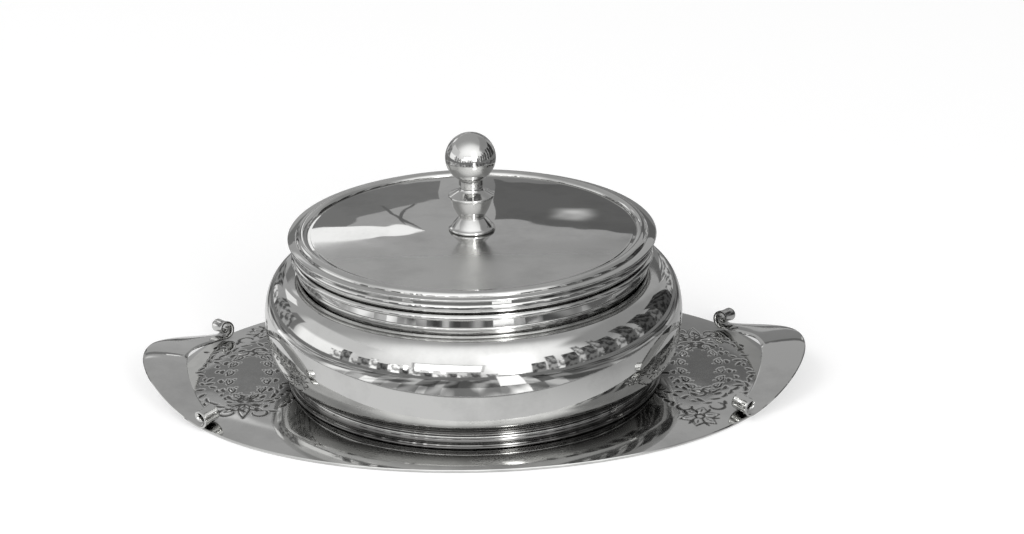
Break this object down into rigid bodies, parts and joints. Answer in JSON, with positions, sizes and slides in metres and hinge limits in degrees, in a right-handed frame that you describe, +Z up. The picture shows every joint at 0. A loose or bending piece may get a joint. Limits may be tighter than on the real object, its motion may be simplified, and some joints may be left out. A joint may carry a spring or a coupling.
{
  "type": "covered candy bowl",
  "caption": "Round bellied metal bowl with a lift-off knobbed lid, standing on an oval tray with scrolled strap handles.",
  "frame": {"origin": "on the table, under the middle of the oval tray", "axes": "+Z up, +X along the tray from handle to handle, -Y towards the viewer of the picture"},
  "size_m": [0.301, 0.202, 0.1183],
  "materials": {
    "silver_polish": "polished silver plate",
    "silver_chased": "polished silver plate with chased ends",
    "silver_soft": "softly polished silver plate",
    "fixing_steel": "plain machined"
  },
  "bodies": {
    "tray": {"tray_plate": "silver_chased", "tray_handle_left": "silver_polish", "tray_handle_right": "silver_polish"},
    "bowl": {"bowl_foot_ring": "silver_polish", "bowl_shell": "silver_polish", "bowl_rim_bead": "silver_polish"},
    "lid": {"lid_shell": "silver_soft", "lid_collar": "silver_soft", "knob_pedestal": "silver_polish", "knob_ball": "silver_polish", "knob_stud": "fixing_steel", "knob_washer": "fixing_steel", "knob_nut": "fixing_steel"}
  },
  "joints": [
    {"name": "bowl_lift", "type": "slide", "parent": "tray", "child": "bowl", "axis": [0, 0, 1], "range_m": [0, 0.06]},
    {"name": "lid_lift", "type": "slide", "parent": "bowl", "child": "lid", "axis": [0, 0, 1], "range_m": [0, 0.1]}
  ]
}
